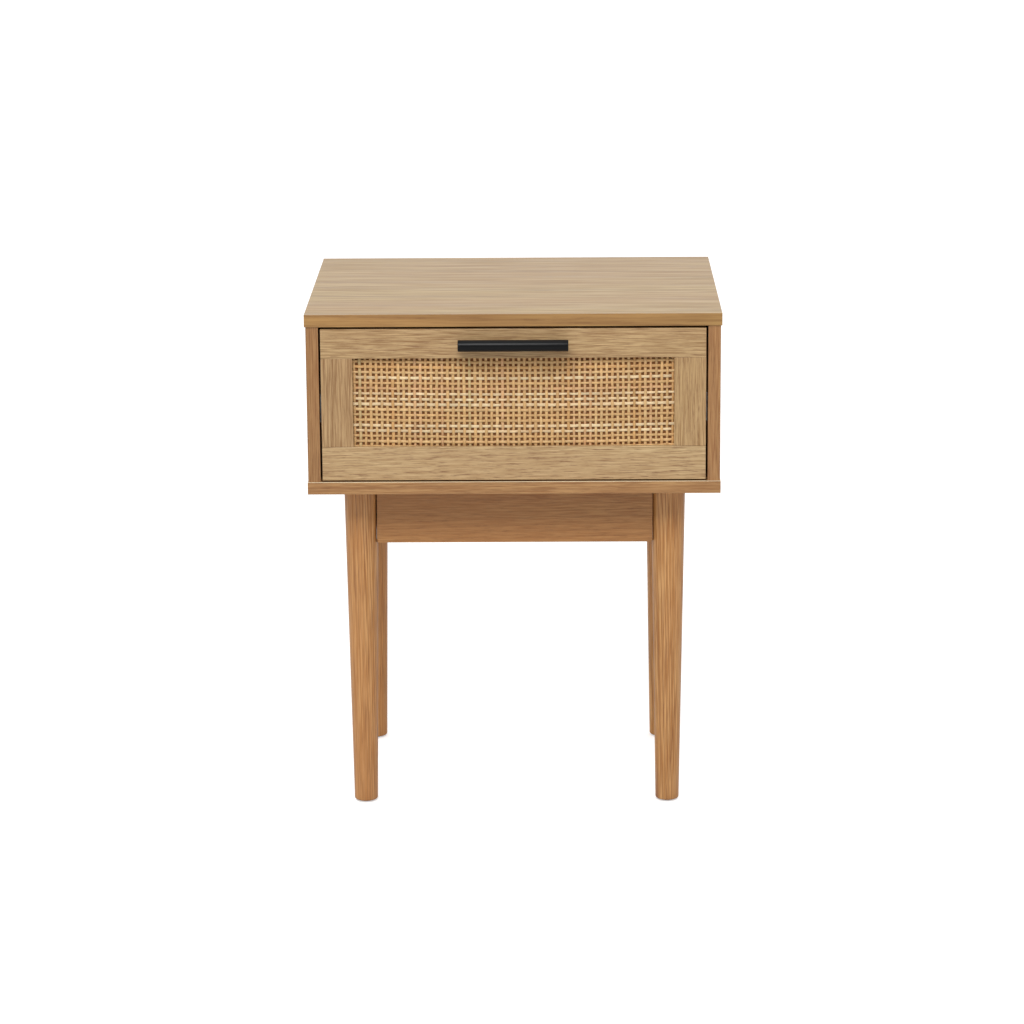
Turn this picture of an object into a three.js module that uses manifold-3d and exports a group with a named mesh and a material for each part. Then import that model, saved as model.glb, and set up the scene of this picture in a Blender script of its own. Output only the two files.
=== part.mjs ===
// Nightstand with one drawer: a laminated case on an apron frame with four round tapered legs.
// Millimetres, +Z up, front towards -Y. The origin is on the floor, under the middle of the whole
// object, handle included.

import * as THREE from "three";
import { mergeVertices } from "three/addons/utils/BufferGeometryUtils.js";
import Module from "manifold-3d";

const wasm = await Module();
wasm.setup();

// Case
const TOP_WIDTH = 500;
const BOTTOM_WIDTH = 498.5;
const CASE_DEPTH = 400;
const TOTAL_HEIGHT = 628;
const BOARD = 15;
const SIDE_HEIGHT = 190.5;
const SIDE_SETIN = 1.5; // side panels inside the top board's left, right and front edges
const BACK_PANEL_THICKNESS = 3;
const BACK_PANEL_SETIN = 9; // behind the back panel, to the case's back edge
const GROOVE_DEPTH = 6;
const FIT_GAP = 0.3; // clearance between a piece and the cut that receives it

// Base frame
const LEG_TOP_RADIUS = 21;
const LEG_BOTTOM_RADIUS = 14.5;
const LEG_RIM_RADIUS = 2.5;
const LEG_SPACING_X = 376;
const LEG_SETIN_Y = 65; // leg axis from the case's front and back edges
const LEG_FLAT = 19; // leg axis to the flat that an apron butts against
const GLIDE_RADIUS = 9;
const GLIDE_THICKNESS = 1.5;
const APRON_HEIGHT = 73.5;
const APRON_THICKNESS = 15;
const APRON_OUTSET = 12.5; // an apron's outer face from the leg axis
const BRACKET_HEIGHT = 50;
const BRACKET_THICKNESS = 2;
const BRACKET_REACH = 30; // leg axis to the bracket's diagonal web
const BRACKET_FLANGE = 24;
const LEG_BOLT_RADIUS = 4;
const LEG_BOLT_DEPTH = 27; // shank from the web towards the leg axis
const LEG_BOLT_HEAD_RADIUS = 7.5;
const LEG_BOLT_HEAD = 5.3;

// Drawer front
const FRONT_SETBACK = 2.5; // drawer front behind the top board's front edge
const FRONT_SIDE_GAP = 2.4;
const FRONT_TOP_GAP = 3;
const FRONT_BOTTOM_GAP = 1.8;
const TOP_RAIL_HEIGHT = 36;
const BOTTOM_RAIL_HEIGHT = 41.2;
const STILE_WIDTH = 38.1;
const REBATE_SETBACK = 6; // drawer front's face to the webbing
const REBATE_MARGIN = 8; // rebate beyond the opening, all round
const WEBBING_THICKNESS = 2.4;
const BACKING_THICKNESS = 3;

// Handle
const BAR_RADIUS = 7;
const BAR_LENGTH = 132;
const BAR_BEVEL = 0.7;
const BAR_STANDOFF = 17.5; // drawer front's face to the bar's axis
const BAR_RISE = 0.5; // bar axis above the top rail's middle
const POST_RADIUS = 3.5;
const POST_SPACING = 96;
const POST_SOCKET_DEPTH = 4;
const SCREW_RADIUS = 2;
const SCREW_REACH = 7; // into the post
const SCREW_HEAD_RADIUS = 4.2;
const SCREW_HEAD = 2.4;

// Drawer box
const BOX_WALL = 12;
const BOX_DEPTH = 355;
const BOX_HEIGHT = 144;
const BOX_FLOOR_GAP = 16; // bottom board to the box walls
const BOX_PANEL_THICKNESS = 3;
const BOX_PANEL_RISE = 8; // wall's lower edge to the drawer bottom
const BOX_GROOVE_DEPTH = 5;

// Ball-bearing slides
const SLIDE_SPACE = 12.75; // side panel to the drawer box
const SLIDE_LENGTH = 350;
const SLIDE_GAP = 2; // behind the drawer front
const SLIDE_HALF_HEIGHT = 17.5;
const SHEET = 1.2;
const CABINET_RAIL_DEPTH = 9;
const CABINET_LIP = 3;
const DRAWER_RAIL_HALF_HEIGHT = 12;
const DRAWER_RAIL_CLEARANCE = 3.5; // side panel to the drawer rail's flanges
const RETAINER_LENGTH = 86;
const RETAINER_SHEET = 0.8;
const RETAINER_START = 1.8; // side panel to the cage's web
const RETAINER_END = 7.2;
const BALL_RADIUS = 2;
const BALL_OFFSET = 4.6; // side panel to the balls' centres
const BALLS_PER_RACE = 7;
const BALL_PITCH = 12;

// Case fittings
const FITTING_FRONT_SETIN = 40; // from the case's front edge
const FITTING_BACK_SETIN = 50; // from the case's back edge
const CAM_RADIUS = 7.5;
const CAM_THICKNESS = 11;
const CAM_DROP = 24; // below the top board
const CAM_BOLT_RADIUS = 3;
const CAM_BOLT_TOP = 11; // into the top board
const CAM_BOLT_TAIL = 3; // past the cam's axis
const CAM_SLOT_DEPTH = 4; // past the cam's axis
const CASE_SCREW_RADIUS = 2.5;
const CASE_SCREW_LENGTH = 50;
const CASE_SCREW_HEAD_RADIUS = 5;
const CASE_SCREW_HEAD = 3;
const DRIVER_SLOT = 1.2; // width of the slots for a screwdriver
const DRIVER_DEPTH = 1.4;

// Facets
const LEG_SIDES = 40;
const BAR_SIDES = 32;
const SMALL_SIDES = 16;
const HEX_SIDES = 6;
const BALL_SIDES = 8;
const RIM_STEPS = 4;
const CUT_PAST = 5; // how far a cutting shape runs past the face that it opens
const MERGE_DISTANCE = 1e-4;

// Places worked out from the sizes above
const HANDLE_PROUD = BAR_STANDOFF + BAR_RADIUS - FRONT_SETBACK;
const FRONT_Y = (HANDLE_PROUD - CASE_DEPTH) / 2;
const BACK_Y = FRONT_Y + CASE_DEPTH;
const CASE_CEILING = TOTAL_HEIGHT - BOARD;
const CASE_FLOOR = CASE_CEILING - SIDE_HEIGHT;
const BASE_TOP = CASE_FLOOR - BOARD;
const SIDE_OUTER = TOP_WIDTH / 2 - SIDE_SETIN;
const SIDE_INNER = SIDE_OUTER - BOARD;
const SIDE_MIDDLE = (SIDE_OUTER + SIDE_INNER) / 2;
const BACK_PANEL_Y = BACK_Y - BACK_PANEL_SETIN - BACK_PANEL_THICKNESS;

const LEG_X = LEG_SPACING_X / 2;
const APRON_BOTTOM = BASE_TOP - APRON_HEIGHT;
const APRON_MIDDLE = BASE_TOP - APRON_HEIGHT / 2;

const FACE_Y = FRONT_Y + FRONT_SETBACK;
const FRAME_BACK_Y = FACE_Y + BOARD;
const REBATE_Y = FACE_Y + REBATE_SETBACK;
const FACE_HALF_WIDTH = SIDE_INNER - FRONT_SIDE_GAP;
const FACE_TOP = CASE_CEILING - FRONT_TOP_GAP;
const FACE_BOTTOM = CASE_FLOOR + FRONT_BOTTOM_GAP;
const OPENING_TOP = FACE_TOP - TOP_RAIL_HEIGHT;
const OPENING_BOTTOM = FACE_BOTTOM + BOTTOM_RAIL_HEIGHT;
const OPENING_HALF_WIDTH = FACE_HALF_WIDTH - STILE_WIDTH;
const BAR_Y = FACE_Y - BAR_STANDOFF;
const BAR_Z = FACE_TOP - TOP_RAIL_HEIGHT / 2 + BAR_RISE;

const BOX_OUTER = SIDE_INNER - SLIDE_SPACE;
const BOX_INNER = BOX_OUTER - BOX_WALL;
const BOX_BOTTOM = CASE_FLOOR + BOX_FLOOR_GAP;
const BOX_TOP = BOX_BOTTOM + BOX_HEIGHT;
const BOX_BACK_Y = FRAME_BACK_Y + BOX_DEPTH;
const BOX_PANEL_Z = BOX_BOTTOM + BOX_PANEL_RISE;
const SLIDE_FRONT_Y = FRAME_BACK_Y + SLIDE_GAP;
const SLIDE_Z = (BOX_BOTTOM + BOX_TOP) / 2;
const CAM_Z = CASE_CEILING - CAM_DROP;

const SIDES = [
  { name: "left", sign: -1 },
  { name: "right", sign: 1 },
];
const ENDS = [
  { name: "front", sign: -1, legY: FRONT_Y + LEG_SETIN_Y, fittingY: FRONT_Y + FITTING_FRONT_SETIN },
  { name: "rear", sign: 1, legY: BACK_Y - LEG_SETIN_Y, fittingY: BACK_Y - FITTING_BACK_SETIN },
];

const FINISHES = {
  oak: { color: 0xb99a6b, roughness: 0.55, metalness: 0 },
  oakLeg: { color: 0xb2845a, roughness: 0.5, metalness: 0 },
  drawerBox: { color: 0xcbb48c, roughness: 0.6, metalness: 0 },
  hardboard: { color: 0x8a6a48, roughness: 0.75, metalness: 0 },
  backing: { color: 0x6b3a22, roughness: 0.7, metalness: 0 },
  cane: { color: 0xe0bf88, roughness: 0.65, metalness: 0 },
  blackMetal: { color: 0x202225, roughness: 0.45, metalness: 0.4 },
  zinc: { color: 0xb8bcc0, roughness: 0.35, metalness: 0.9 },
  glide: { color: 0x2b2b2b, roughness: 0.7, metalness: 0 },
};

const group = new THREE.Group();

function addPiece(name, geometry, finish) {
  const mesh = new THREE.Mesh(geometry, new THREE.MeshStandardMaterial(finish));
  mesh.name = name;
  group.add(mesh);
}

function boxBetween(low, high) {
  const size = high.map((value, axis) => value - low[axis]);
  const geometry = new THREE.BoxGeometry(...size);
  geometry.translate(...low.map((value, axis) => value + size[axis] / 2));
  return geometry;
}

// A box whose x range is given for the right side and mirrored for the left.
function sideBox(sign, low, high) {
  const xs = [sign * low[0], sign * high[0]];
  return boxBetween([Math.min(...xs), low[1], low[2]], [Math.max(...xs), high[1], high[2]]);
}

function rodBetween(start, end, radius, sides = SMALL_SIDES) {
  const from = new THREE.Vector3(...start);
  const along = new THREE.Vector3(...end).sub(from);
  const geometry = new THREE.CylinderGeometry(radius, radius, along.length(), sides);
  const up = new THREE.Vector3(0, 1, 0);
  geometry.applyQuaternion(new THREE.Quaternion().setFromUnitVectors(up, along.clone().normalize()));
  geometry.translate(...from.addScaledVector(along, 0.5).toArray());
  return geometry;
}

// A turned piece standing on +Z. The profile's points are [radius, height].
function turned(profile, sides) {
  const geometry = new THREE.LatheGeometry(
    profile.map(([radius, height]) => new THREE.Vector2(radius, height)),
    sides,
  );
  geometry.rotateX(Math.PI / 2);
  return geometry;
}

function toSolid(geometry) {
  const bare = geometry.clone();
  bare.deleteAttribute("normal");
  bare.deleteAttribute("uv");
  const merged = mergeVertices(bare, MERGE_DISTANCE);
  const corners = merged.index.array;
  const kept = [];
  for (let i = 0; i < corners.length; i += 3) {
    const [a, b, c] = [corners[i], corners[i + 1], corners[i + 2]];
    if (a !== b && b !== c && c !== a) kept.push(a, b, c);
  }
  const vertProperties = Float32Array.from(merged.attributes.position.array);
  const triVerts = Uint32Array.from(kept);
  return new wasm.Manifold(new wasm.Mesh({ numProp: 3, vertProperties, triVerts }));
}

function toGeometry(solid) {
  const mesh = solid.getMesh();
  const geometry = new THREE.BufferGeometry();
  geometry.setAttribute("position", new THREE.BufferAttribute(mesh.vertProperties, 3));
  geometry.setIndex(new THREE.BufferAttribute(mesh.triVerts, 1));
  geometry.computeVertexNormals();
  return geometry;
}

function cut(geometry, tools) {
  return toGeometry(tools.reduce((solid, tool) => solid.subtract(toSolid(tool)), toSolid(geometry)));
}

function join(geometry, others) {
  return toGeometry(others.reduce((solid, other) => solid.add(toSolid(other)), toSolid(geometry)));
}

// The plan or section outline of a strip of sheet metal bent along a line of points.
function stripOutline(points, thickness) {
  const centres = points.map(([x, y]) => new THREE.Vector2(x, y));
  const normals = centres.slice(1).map((point, i) => {
    const along = point.clone().sub(centres[i]).normalize();
    return new THREE.Vector2(-along.y, along.x);
  });
  const offsets = centres.map((_, i) => {
    const before = normals[Math.max(i - 1, 0)];
    const after = normals[Math.min(i, normals.length - 1)];
    const middle = before.clone().add(after).normalize();
    return middle.multiplyScalar(thickness / 2 / middle.dot(before));
  });
  const oneFace = centres.map((point, i) => point.clone().add(offsets[i]));
  const otherFace = centres.map((point, i) => point.clone().sub(offsets[i]));
  return [...oneFace, ...otherFace.reverse()];
}

// Turns an outline drawn in (x, y) into a bar: "z" stands it up, "y" lays it along +Y with the
// outline's y upwards.
function extruded(outline, length, direction) {
  const shape = new THREE.Shape(outline);
  const geometry = new THREE.ExtrudeGeometry(shape, { depth: length, bevelEnabled: false });
  if (direction === "y") {
    geometry.rotateX(Math.PI / 2);
    geometry.translate(0, length, 0);
  }
  return geometry;
}

function backPanelGroove() {
  const reach = SIDE_INNER + GROOVE_DEPTH;
  return boxBetween(
    [-reach, BACK_PANEL_Y - FIT_GAP, CASE_FLOOR - GROOVE_DEPTH],
    [reach, BACK_PANEL_Y + BACK_PANEL_THICKNESS + FIT_GAP, CASE_CEILING + GROOVE_DEPTH],
  );
}

// The hole for a pin, screw or bolt that stands upright at (x, y), with its clearance.
function uprightHole(x, y, lowZ, highZ, radius) {
  return rodBetween([x, y, lowZ], [x, y, highZ], radius + FIT_GAP);
}

function addTopBoard() {
  const board = boxBetween([-TOP_WIDTH / 2, FRONT_Y, CASE_CEILING], [TOP_WIDTH / 2, BACK_Y, TOTAL_HEIGHT]);
  const holes = [backPanelGroove()];
  const boltTop = CASE_CEILING + CAM_BOLT_TOP + FIT_GAP;
  for (const side of SIDES) {
    for (const end of ENDS) {
      const x = side.sign * SIDE_MIDDLE;
      holes.push(uprightHole(x, end.fittingY, CASE_CEILING - CUT_PAST, boltTop, CAM_BOLT_RADIUS));
    }
  }
  addPiece("top_board", cut(board, holes), FINISHES.oak);
}

function addBottomBoard() {
  const board = boxBetween([-BOTTOM_WIDTH / 2, FRONT_Y, BASE_TOP], [BOTTOM_WIDTH / 2, BACK_Y, CASE_FLOOR]);
  const holes = [backPanelGroove()];
  const below = BASE_TOP - CUT_PAST;
  const headTop = BASE_TOP + CASE_SCREW_HEAD + 2 * FIT_GAP;
  for (const side of SIDES) {
    for (const end of ENDS) {
      const x = side.sign * SIDE_MIDDLE;
      holes.push(uprightHole(x, end.fittingY, below, CASE_FLOOR + CUT_PAST, CASE_SCREW_RADIUS));
      holes.push(uprightHole(x, end.fittingY, below, headTop, CASE_SCREW_HEAD_RADIUS));
    }
  }
  addPiece("bottom_board", cut(board, holes), FINISHES.oak);
}

function addSidePanel(side) {
  const panel = sideBox(
    side.sign,
    [SIDE_INNER, FRONT_Y + SIDE_SETIN, CASE_FLOOR],
    [SIDE_OUTER, BACK_Y, CASE_CEILING],
  );
  const x = side.sign * SIDE_MIDDLE;
  const camMouth = side.sign * (SIDE_INNER - CUT_PAST);
  const camEnd = side.sign * (SIDE_INNER + CAM_THICKNESS + FIT_GAP);
  const screwTip = BASE_TOP + CASE_SCREW_LENGTH + FIT_GAP;
  const holes = [backPanelGroove()];
  for (const end of ENDS) {
    const y = end.fittingY;
    holes.push(rodBetween([camMouth, y, CAM_Z], [camEnd, y, CAM_Z], CAM_RADIUS + FIT_GAP));
    holes.push(uprightHole(x, y, CAM_Z, CASE_CEILING + CUT_PAST, CAM_BOLT_RADIUS));
    holes.push(uprightHole(x, y, CASE_FLOOR - CUT_PAST, screwTip, CASE_SCREW_RADIUS));
  }
  addPiece(`${side.name}_side_panel`, cut(panel, holes), FINISHES.oak);
}

function addBackPanel() {
  const reach = GROOVE_DEPTH - 2 * FIT_GAP;
  const panel = boxBetween(
    [-SIDE_INNER - reach, BACK_PANEL_Y, CASE_FLOOR - reach],
    [SIDE_INNER + reach, BACK_PANEL_Y + BACK_PANEL_THICKNESS, CASE_CEILING + reach],
  );
  addPiece("back_panel", panel, FINISHES.hardboard);
}

// A cam lock, flush with the side panel's inner face, and the bolt that it draws down.
function addCamFitting(side, end) {
  const x = side.sign * SIDE_MIDDLE;
  const y = end.fittingY;
  const disc = rodBetween(
    [side.sign * SIDE_INNER, y, CAM_Z],
    [side.sign * (SIDE_INNER + CAM_THICKNESS), y, CAM_Z],
    CAM_RADIUS,
    2 * SMALL_SIDES,
  );
  const slotHalf = CAM_BOLT_RADIUS + FIT_GAP;
  const slot = boxBetween(
    [x - slotHalf, y - slotHalf, CAM_Z - CAM_SLOT_DEPTH],
    [x + slotHalf, y + slotHalf, CAM_Z + 2 * CAM_RADIUS],
  );
  const driverSlot = sideBox(
    side.sign,
    [SIDE_INNER - CUT_PAST, y - CAM_RADIUS / 2, CAM_Z - DRIVER_SLOT / 2],
    [SIDE_INNER + DRIVER_DEPTH, y + CAM_RADIUS / 2, CAM_Z + DRIVER_SLOT / 2],
  );
  addPiece(`${end.name}_${side.name}_cam_lock`, cut(disc, [slot, driverSlot]), FINISHES.zinc);
  const bolt = rodBetween(
    [x, y, CAM_Z - CAM_BOLT_TAIL],
    [x, y, CASE_CEILING + CAM_BOLT_TOP],
    CAM_BOLT_RADIUS,
  );
  addPiece(`${end.name}_${side.name}_cam_bolt`, bolt, FINISHES.zinc);
}

function addCaseScrew(side, end) {
  const headBottom = FIT_GAP;
  const headTop = headBottom + CASE_SCREW_HEAD;
  const screw = turned(
    [
      [0, headBottom],
      [CASE_SCREW_HEAD_RADIUS, headBottom],
      [CASE_SCREW_HEAD_RADIUS, headTop],
      [CASE_SCREW_RADIUS, headTop],
      [CASE_SCREW_RADIUS, CASE_SCREW_LENGTH - 2 * CASE_SCREW_RADIUS],
      [0, CASE_SCREW_LENGTH],
    ],
    SMALL_SIDES,
  );
  const socketTop = headBottom + DRIVER_DEPTH;
  const socket = rodBetween([0, 0, -CUT_PAST], [0, 0, socketTop], CASE_SCREW_RADIUS, HEX_SIDES);
  const geometry = cut(screw, [socket]);
  geometry.translate(side.sign * SIDE_MIDDLE, end.fittingY, BASE_TOP);
  addPiece(`${end.name}_${side.name}_case_screw`, geometry, FINISHES.zinc);
}

// A round leg with a soft bottom rim, flats for two aprons and a blind hole for its bolt.
function addLeg(side, end) {
  const profile = [[0, GLIDE_THICKNESS]];
  for (let step = 0; step <= RIM_STEPS; step += 1) {
    const angle = (Math.PI / 2) * (step / RIM_STEPS);
    const radius = LEG_BOTTOM_RADIUS - LEG_RIM_RADIUS * (1 - Math.sin(angle));
    profile.push([radius, GLIDE_THICKNESS + LEG_RIM_RADIUS * (1 - Math.cos(angle))]);
  }
  profile.push([LEG_TOP_RADIUS, BASE_TOP]);
  profile.push([0, BASE_TOP]);
  const inwardX = -side.sign;
  const inwardY = -end.sign;
  const wide = 2 * LEG_TOP_RADIUS;
  const flatX = sideBox(inwardX, [LEG_FLAT, -wide, APRON_BOTTOM], [wide, wide, BASE_TOP + CUT_PAST]);
  const flatY = boxBetween(
    [-wide, Math.min(inwardY * LEG_FLAT, inwardY * wide), APRON_BOTTOM],
    [wide, Math.max(inwardY * LEG_FLAT, inwardY * wide), BASE_TOP + CUT_PAST],
  );
  const diagonal = Math.SQRT1_2;
  const holeEnd = BRACKET_REACH - LEG_BOLT_DEPTH - FIT_GAP;
  const hole = rodBetween(
    [inwardX * diagonal * holeEnd, inwardY * diagonal * holeEnd, APRON_MIDDLE],
    [inwardX * diagonal * wide, inwardY * diagonal * wide, APRON_MIDDLE],
    LEG_BOLT_RADIUS + FIT_GAP,
  );
  const geometry = cut(turned(profile, LEG_SIDES), [flatX, flatY, hole]);
  geometry.translate(side.sign * LEG_X, end.legY, 0);
  addPiece(`${end.name}_${side.name}_leg`, geometry, FINISHES.oakLeg);
}

function addGlide(side, end) {
  const bevel = GLIDE_THICKNESS / 3;
  const glide = turned(
    [
      [0, 0],
      [GLIDE_RADIUS - bevel, 0],
      [GLIDE_RADIUS, bevel],
      [GLIDE_RADIUS, GLIDE_THICKNESS],
      [0, GLIDE_THICKNESS],
    ],
    2 * SMALL_SIDES,
  );
  glide.translate(side.sign * LEG_X, end.legY, 0);
  addPiece(`${end.name}_${side.name}_glide`, glide, FINISHES.glide);
}

function addFrontOrRearApron(end) {
  const reach = LEG_X - LEG_FLAT - FIT_GAP;
  const outer = end.legY + end.sign * APRON_OUTSET;
  const inner = outer - end.sign * APRON_THICKNESS;
  const apron = boxBetween(
    [-reach, Math.min(outer, inner), APRON_BOTTOM],
    [reach, Math.max(outer, inner), BASE_TOP],
  );
  addPiece(`${end.name}_apron`, apron, FINISHES.oak);
}

function addSideApron(side) {
  const outer = LEG_X + APRON_OUTSET;
  const [front, rear] = ENDS;
  const apron = sideBox(
    side.sign,
    [outer - APRON_THICKNESS, front.legY + LEG_FLAT + FIT_GAP, APRON_BOTTOM],
    [outer, rear.legY - LEG_FLAT - FIT_GAP, BASE_TOP],
  );
  addPiece(`${side.name}_apron`, apron, FINISHES.oak);
}

// A bent steel bracket across a corner of the apron frame: two flanges and a diagonal web.
// Drawn for a leg axis at (0, 0) with the frame's inside towards +X and +Y.
function addBracketAndBolt(side, end) {
  const flangeOffset = APRON_THICKNESS - APRON_OUTSET + BRACKET_THICKNESS / 2 + FIT_GAP;
  const webReach = BRACKET_REACH * Math.SQRT2 - flangeOffset;
  const points = [
    [flangeOffset, webReach + BRACKET_FLANGE],
    [flangeOffset, webReach],
    [webReach, flangeOffset],
    [webReach + BRACKET_FLANGE, flangeOffset],
  ];
  const bracket = extruded(stripOutline(points, BRACKET_THICKNESS), BRACKET_HEIGHT, "z");
  bracket.translate(0, 0, APRON_MIDDLE - BRACKET_HEIGHT / 2);
  const diagonal = (distance) => [distance * Math.SQRT1_2, distance * Math.SQRT1_2, APRON_MIDDLE];
  const boltHole = rodBetween(
    diagonal(BRACKET_REACH - LEG_BOLT_HEAD),
    diagonal(BRACKET_REACH + LEG_BOLT_HEAD),
    LEG_BOLT_RADIUS + 2 * FIT_GAP,
  );
  const headStart = BRACKET_REACH + BRACKET_THICKNESS / 2 + FIT_GAP;
  const headEnd = headStart + LEG_BOLT_HEAD;
  const shankTip = BRACKET_REACH - LEG_BOLT_DEPTH;
  const shank = rodBetween(diagonal(shankTip), diagonal(headStart + 1), LEG_BOLT_RADIUS);
  const head = rodBetween(diagonal(headStart), diagonal(headEnd), LEG_BOLT_HEAD_RADIUS, HEX_SIDES);
  const place = (geometry) => {
    geometry.rotateZ(Math.atan2(-end.sign, -side.sign) - Math.PI / 4);
    geometry.translate(side.sign * LEG_X, end.legY, 0);
    return geometry;
  };
  addPiece(`${end.name}_${side.name}_corner_bracket`, place(cut(bracket, [boltHole])), FINISHES.zinc);
  addPiece(`${end.name}_${side.name}_leg_bolt`, place(join(shank, [head])), FINISHES.zinc);
}

function webbingRebate() {
  return boxBetween(
    [-OPENING_HALF_WIDTH - REBATE_MARGIN, REBATE_Y, OPENING_BOTTOM - REBATE_MARGIN],
    [OPENING_HALF_WIDTH + REBATE_MARGIN, FRAME_BACK_Y + CUT_PAST, OPENING_TOP + REBATE_MARGIN],
  );
}

function addDrawerRails() {
  const screwHoles = [-1, 1].map((sign) => {
    const x = (sign * POST_SPACING) / 2;
    const front = [x, FACE_Y - CUT_PAST, BAR_Z];
    return rodBetween(front, [x, FRAME_BACK_Y + CUT_PAST, BAR_Z], SCREW_RADIUS + FIT_GAP);
  });
  const topRail = boxBetween(
    [-FACE_HALF_WIDTH, FACE_Y, OPENING_TOP],
    [FACE_HALF_WIDTH, FRAME_BACK_Y, FACE_TOP],
  );
  const bottomRail = boxBetween(
    [-FACE_HALF_WIDTH, FACE_Y, FACE_BOTTOM],
    [FACE_HALF_WIDTH, FRAME_BACK_Y, OPENING_BOTTOM],
  );
  addPiece("drawer_top_rail", cut(topRail, [webbingRebate(), ...screwHoles]), FINISHES.oak);
  addPiece("drawer_bottom_rail", cut(bottomRail, [webbingRebate()]), FINISHES.oak);
}

function addDrawerStile(side) {
  const stile = sideBox(
    side.sign,
    [OPENING_HALF_WIDTH, FACE_Y, OPENING_BOTTOM],
    [FACE_HALF_WIDTH, FRAME_BACK_Y, OPENING_TOP],
  );
  addPiece(`drawer_${side.name}_stile`, cut(stile, [webbingRebate()]), FINISHES.oak);
}

function addWebbingAndBacking() {
  const reach = REBATE_MARGIN - FIT_GAP;
  const panelFrom = (y, thickness) =>
    boxBetween(
      [-OPENING_HALF_WIDTH - reach, y, OPENING_BOTTOM - reach],
      [OPENING_HALF_WIDTH + reach, y + thickness, OPENING_TOP + reach],
    );
  const webbingY = REBATE_Y + FIT_GAP;
  const backingY = webbingY + WEBBING_THICKNESS + FIT_GAP;
  addPiece("rattan_webbing", panelFrom(webbingY, WEBBING_THICKNESS), FINISHES.cane);
  addPiece("webbing_backing_panel", panelFrom(backingY, BACKING_THICKNESS), FINISHES.backing);
}

function addHandleBar() {
  const bevel = BAR_BEVEL;
  const half = BAR_LENGTH / 2;
  const bar = turned(
    [
      [0, -half],
      [BAR_RADIUS - bevel, -half],
      [BAR_RADIUS, bevel - half],
      [BAR_RADIUS, half - bevel],
      [BAR_RADIUS - bevel, half],
      [0, half],
    ],
    BAR_SIDES,
  );
  bar.rotateY(Math.PI / 2);
  bar.translate(0, BAR_Y, BAR_Z);
  const sockets = [-1, 1].map((sign) => {
    const x = (sign * POST_SPACING) / 2;
    const floor = BAR_Y + BAR_RADIUS - POST_SOCKET_DEPTH;
    return rodBetween([x, floor, BAR_Z], [x, FACE_Y, BAR_Z], POST_RADIUS + FIT_GAP);
  });
  addPiece("handle_bar", cut(bar, sockets), FINISHES.blackMetal);
}

function addHandlePostAndScrew(side) {
  const x = (side.sign * POST_SPACING) / 2;
  const postTip = BAR_Y + BAR_RADIUS - POST_SOCKET_DEPTH + FIT_GAP;
  const screwTip = FACE_Y - SCREW_REACH;
  const post = rodBetween([x, postTip, BAR_Z], [x, FACE_Y - FIT_GAP / 2, BAR_Z], POST_RADIUS);
  const thread = rodBetween([x, screwTip - FIT_GAP, BAR_Z], [x, FACE_Y, BAR_Z], SCREW_RADIUS + FIT_GAP);
  addPiece(`${side.name}_handle_post`, cut(post, [thread]), FINISHES.blackMetal);

  const headStart = FRAME_BACK_Y + FIT_GAP;
  const shank = rodBetween([x, screwTip, BAR_Z], [x, headStart + 1, BAR_Z], SCREW_RADIUS);
  const head = rodBetween([x, headStart, BAR_Z], [x, headStart + SCREW_HEAD, BAR_Z], SCREW_HEAD_RADIUS);
  const slotY = headStart + SCREW_HEAD - DRIVER_DEPTH;
  const slotReach = SCREW_HEAD_RADIUS / 2;
  const crossSlot = [
    [slotReach, DRIVER_SLOT / 2],
    [DRIVER_SLOT / 2, slotReach],
  ].map(([halfX, halfZ]) =>
    boxBetween([x - halfX, slotY, BAR_Z - halfZ], [x + halfX, slotY + CUT_PAST, BAR_Z + halfZ]),
  );
  addPiece(`${side.name}_handle_screw`, cut(join(shank, [head]), crossSlot), FINISHES.zinc);
}

function drawerBottomGroove() {
  const reach = BOX_INNER + BOX_GROOVE_DEPTH;
  return boxBetween(
    [-reach, FRAME_BACK_Y + BOX_WALL - BOX_GROOVE_DEPTH, BOX_PANEL_Z - FIT_GAP],
    [reach, BOX_BACK_Y - BOX_WALL + BOX_GROOVE_DEPTH, BOX_PANEL_Z + BOX_PANEL_THICKNESS + FIT_GAP],
  );
}

function addDrawerBox() {
  for (const side of SIDES) {
    const wall = sideBox(
      side.sign,
      [BOX_INNER, FRAME_BACK_Y, BOX_BOTTOM],
      [BOX_OUTER, BOX_BACK_Y, BOX_TOP],
    );
    addPiece(`drawer_box_${side.name}`, cut(wall, [drawerBottomGroove()]), FINISHES.drawerBox);
  }
  const crossWalls = { front: FRAME_BACK_Y, back: BOX_BACK_Y - BOX_WALL };
  for (const [name, y] of Object.entries(crossWalls)) {
    const wall = boxBetween([-BOX_INNER, y, BOX_BOTTOM], [BOX_INNER, y + BOX_WALL, BOX_TOP]);
    addPiece(`drawer_box_${name}`, cut(wall, [drawerBottomGroove()]), FINISHES.drawerBox);
  }
  const inset = BOX_GROOVE_DEPTH - FIT_GAP;
  const bottom = boxBetween(
    [-BOX_INNER - inset, FRAME_BACK_Y + BOX_WALL - inset, BOX_PANEL_Z],
    [BOX_INNER + inset, BOX_BACK_Y - BOX_WALL + inset, BOX_PANEL_Z + BOX_PANEL_THICKNESS],
  );
  addPiece("drawer_box_bottom", bottom, FINISHES.drawerBox);
}

// Lays a slide member's section, drawn with x from the side panel towards the drawer, along +Y.
function slideMember(section, side, startY, length) {
  const outline = section.map(
    ([depth, height]) => new THREE.Vector2(side.sign * (SIDE_INNER - depth), SLIDE_Z + height),
  );
  const member = extruded(outline, length, "y");
  member.translate(0, startY, 0);
  return member;
}

// A section symmetric about the slide's middle, from its upper half.
function mirrored(upperHalf) {
  return [...upperHalf, ...upperHalf.map(([depth, height]) => [depth, -height]).reverse()];
}

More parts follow.
